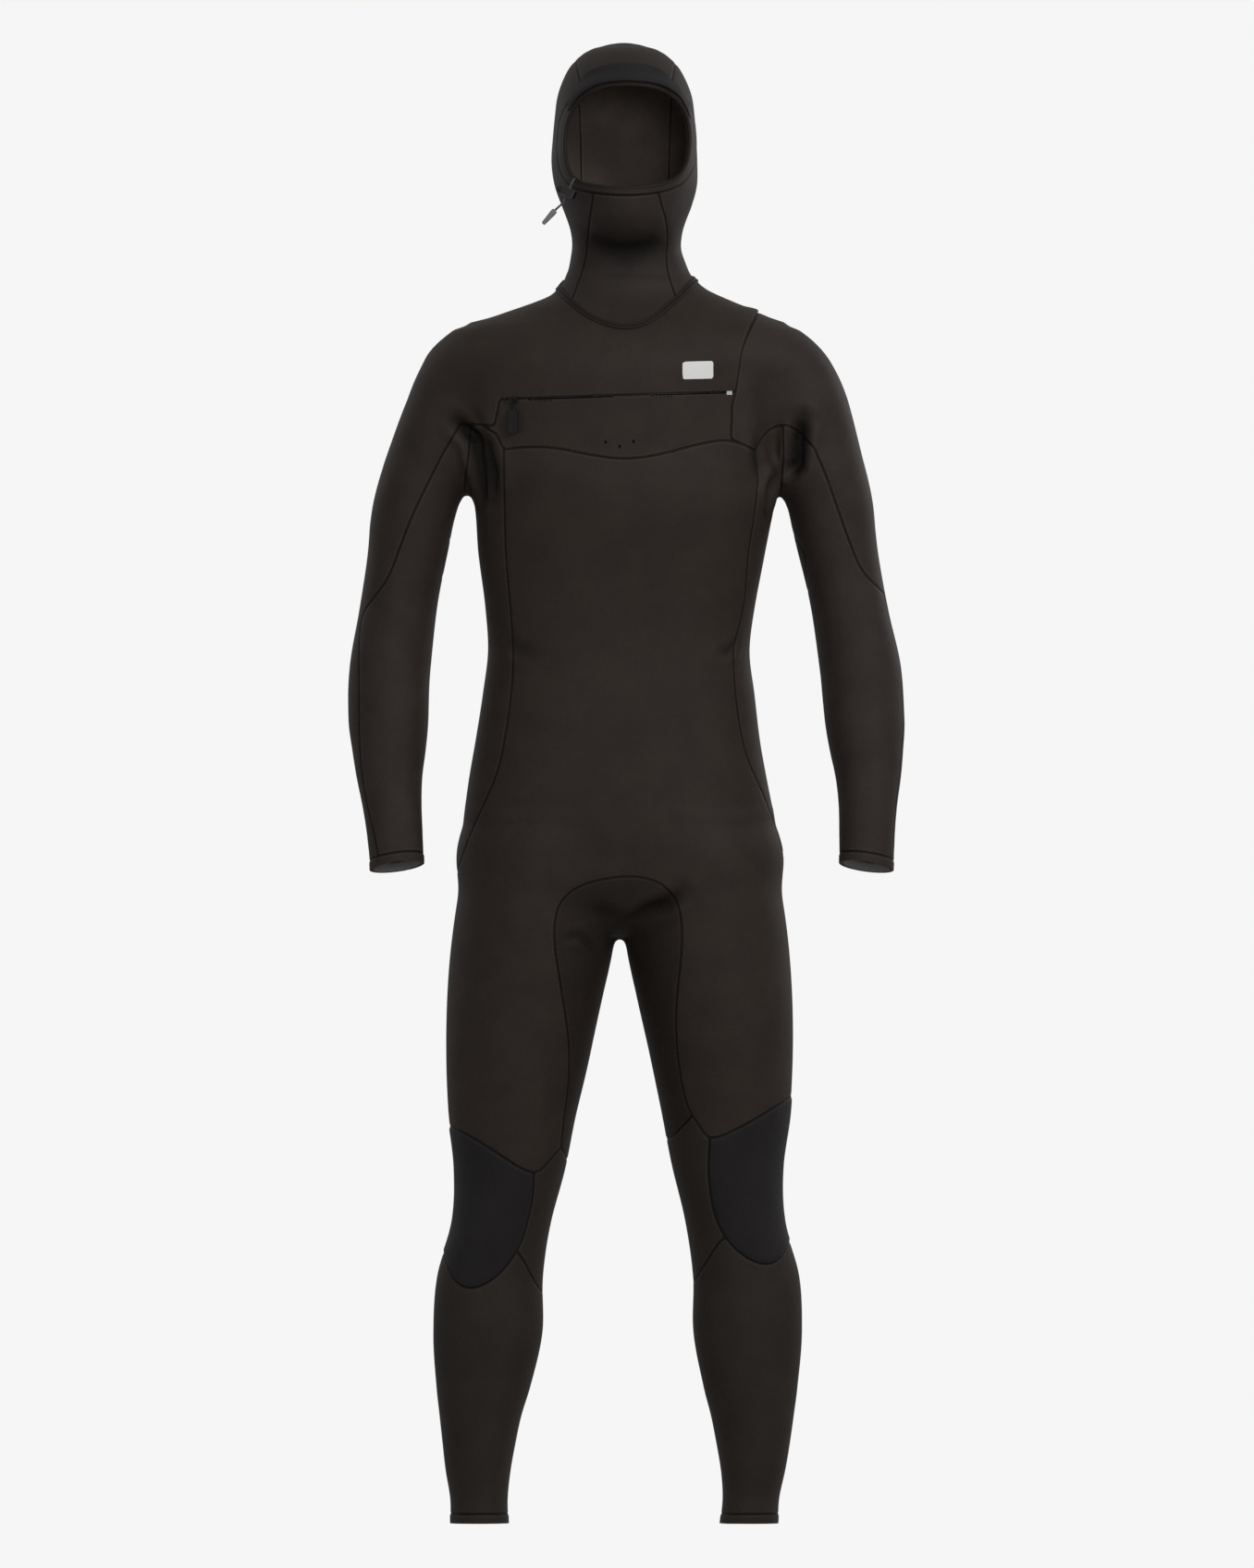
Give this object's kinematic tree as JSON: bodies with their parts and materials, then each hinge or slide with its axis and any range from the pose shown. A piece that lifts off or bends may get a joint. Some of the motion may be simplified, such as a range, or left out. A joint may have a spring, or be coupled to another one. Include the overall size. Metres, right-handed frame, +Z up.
{
  "type": "full wetsuit",
  "caption": "Full-length hooded neoprene wetsuit in the shape of a standing wearer, with a slide fastener across the chest, a drawcord round the face, and separate sewn panels.",
  "frame": {"origin": "centre of the base of the neck, where the suit hangs from its wearer's shoulders; the ankle hems are 1.4 m below it", "axes": "+Z up to the crown of the hood, +X the wearer's left (the viewer's right), the chest faces -Y"},
  "size_m": [0.6378, 0.235, 1.6985],
  "materials": {
    "body_jersey": "matte knitted neoprene",
    "hood_jersey": "matte knitted neoprene",
    "sleeve_jersey": "matte knitted neoprene",
    "visor_skin": "smooth skin neoprene",
    "knee_pad": "printed grip rubber on neoprene",
    "hem_skin": "smooth skin neoprene",
    "zip_tape": "woven tape",
    "zip_teeth": "moulded",
    "zip_metal": "satin",
    "pull_rubber": "moulded, satin",
    "lock_plastic": "moulded",
    "grey_plastic": "moulded",
    "patch": "plain print",
    "cord": "braided"
  },
  "bodies": {
    "suit": {"hood_crown_panel": "hood_jersey", "hood_side_panel_left": "hood_jersey", "hood_side_panel_right": "hood_jersey", "hood_throat_panel": "hood_jersey", "hood_visor": "visor_skin", "face_hem": "hood_jersey", "neck_welt": "hood_jersey", "chest_flap_and_right_sleeve_panel": "body_jersey", "left_sleeve_panel": "sleeve_jersey", "chest_lower_panel": "body_jersey", "front_body_panel": "body_jersey", "back_panel": "body_jersey", "seat_panel": "body_jersey", "side_panel_left": "body_jersey", "side_panel_right": "body_jersey", "inner_sleeve_panel_left": "sleeve_jersey", "inner_sleeve_panel_right": "sleeve_jersey", "crotch_gusset": "body_jersey", "knee_pad_left": "knee_pad", "knee_pad_right": "knee_pad", "inner_knee_panel_left": "body_jersey", "inner_knee_panel_right": "body_jersey", "calf_panel_left": "body_jersey", "calf_panel_right": "body_jersey", "wrist_hem_left": "hem_skin", "wrist_hem_right": "hem_skin", "ankle_hem_left": "hem_skin", "ankle_hem_right": "hem_skin", "zip_tape_upper": "zip_tape", "zip_tape_lower": "zip_tape", "zip_teeth_upper": "zip_teeth", "zip_teeth_lower": "zip_teeth", "zip_end_stop": "zip_metal", "zip_end_box": "grey_plastic", "zip_backing_flap": "zip_tape", "chest_patch": "patch", "drawcord_loop": "cord", "drawcord_eyelet": "zip_metal", "drawcord_tail": "cord", "drawcord_end": "grey_plastic"},
    "zip_slider": {"zip_slider_body": "zip_metal"},
    "pull_link": {"pull_link": "zip_metal"},
    "pull_tab": {"pull_tab": "pull_rubber"},
    "cord_lock": {"cord_lock_body": "lock_plastic"},
    "lock_button": {"cord_lock_button": "lock_plastic"}
  },
  "joints": [
    {"name": "zip_slide", "type": "hinge", "parent": "suit", "child": "zip_slider", "pos_m": [-0.01, 0.235, -0.1085], "axis": [-0.0326, 0, 0.9995], "range_deg": [0, 41]},
    {"name": "pull_lift", "type": "hinge", "parent": "zip_slider", "child": "pull_link", "pos_m": [-0.13113, -0.08801, -0.11245], "axis": [-0.9358, 0.3513, -0.0306], "range_deg": [-4, 110]},
    {"name": "pull_sway", "type": "hinge", "parent": "pull_link", "child": "pull_tab", "pos_m": [-0.13082, -0.08801, -0.12185], "axis": [0.3511, 0.9363, 0.0115], "range_deg": [-35, 35]},
    {"name": "cord_lock_slide", "type": "slide", "parent": "suit", "child": "cord_lock", "axis": [-0.4136, -0.0331, -0.9099], "range_m": [-0.004, 0.006]},
    {"name": "lock_button_press", "type": "slide", "parent": "cord_lock", "child": "lock_button", "axis": [0.8333, -0.4163, -0.3637], "range_m": [0, 0.0026], "stiffness_N_per_m": 400, "springref_m": -0.002}
  ]
}
